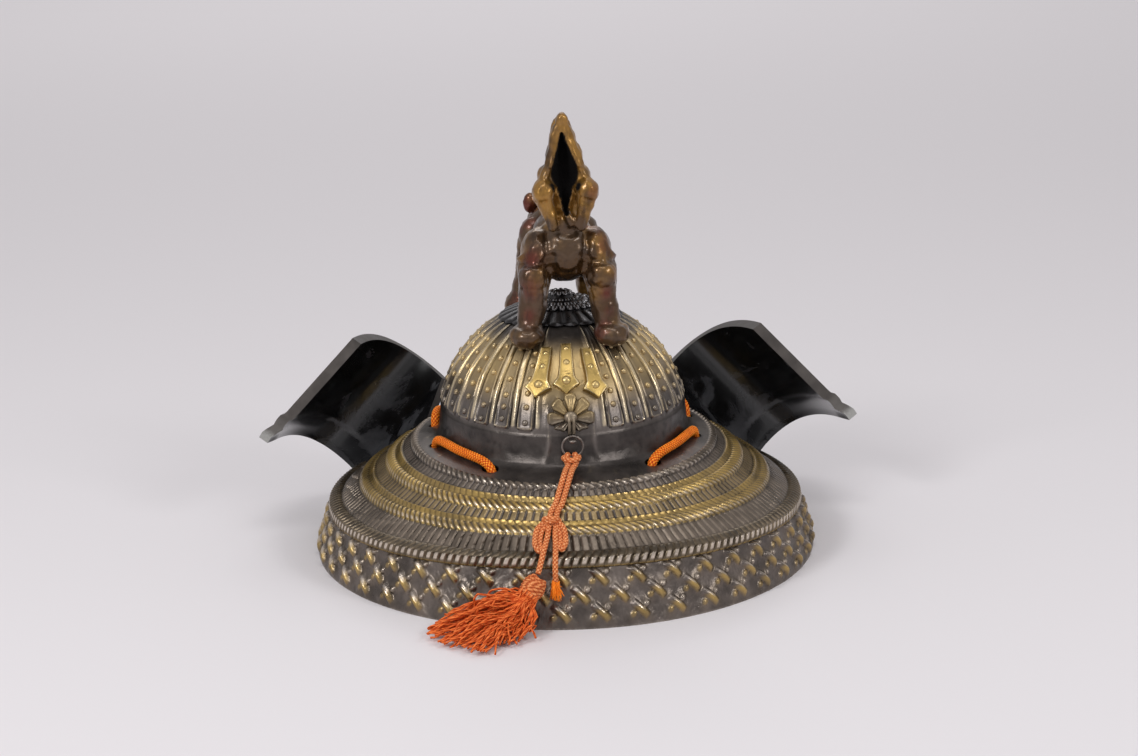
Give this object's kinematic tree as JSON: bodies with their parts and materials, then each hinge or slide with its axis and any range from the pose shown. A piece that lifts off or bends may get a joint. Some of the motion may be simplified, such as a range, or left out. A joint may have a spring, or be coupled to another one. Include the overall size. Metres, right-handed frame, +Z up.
{
  "type": "kabuto samurai helmet ornament",
  "caption": "Cast kabuto helmet with ribbed bowl, roped neck guard, lattice apron, lacquered turnbacks, shishi figure on the crown, orange chin cord and a tasselled cord at the back.",
  "frame": {"origin": "on the surface that the rim stands on, under the middle of the box round the rigid pieces, without the cords", "axes": "+Z up through the crown; the helmet faces -Y, so +Y is its back; +X is the wearer's left and runs across the turnbacks, the longest way"},
  "size_m": [0.2858, 0.2505, 0.209],
  "materials": {
    "olive_brass": "rubbed olive brass over dark cast metal",
    "aged_iron": "dark patinated cast iron, rubbed bright on its raised edges",
    "black_lacquer": "glossy black lacquer with cloudy grey wear",
    "gilt": "worn gilt",
    "dark_steel": "darkened steel wire",
    "glazed_bronze": "glossy brown bronze with amber and wine-red glaze",
    "orange_braid": "bright orange braid",
    "salmon_cord": "salmon orange braided cord"
  },
  "bodies": {
    "root": {"bowl": "olive_brass", "neck_guard": "aged_iron", "turnback_left": "black_lacquer", "turnback_right": "black_lacquer", "peak": "aged_iron", "crown_rosette": "aged_iron", "gilt_plate_left": "gilt", "gilt_plate_middle": "gilt", "gilt_plate_right": "gilt", "rear_rosette": "gilt", "ring_staple": "dark_steel", "cord_ring": "dark_steel", "shishi_figure": "glazed_bronze", "chin_cord": "orange_braid", "cord_hitch": "salmon_cord", "cord_strand_left": "salmon_cord", "cord_strand_right": "salmon_cord", "cord_knot": "salmon_cord", "cord_tail_left": "salmon_cord", "cord_tail_right": "salmon_cord", "frayed_end": "orange_braid", "tassel": "salmon_cord"}
  },
  "joints": []
}
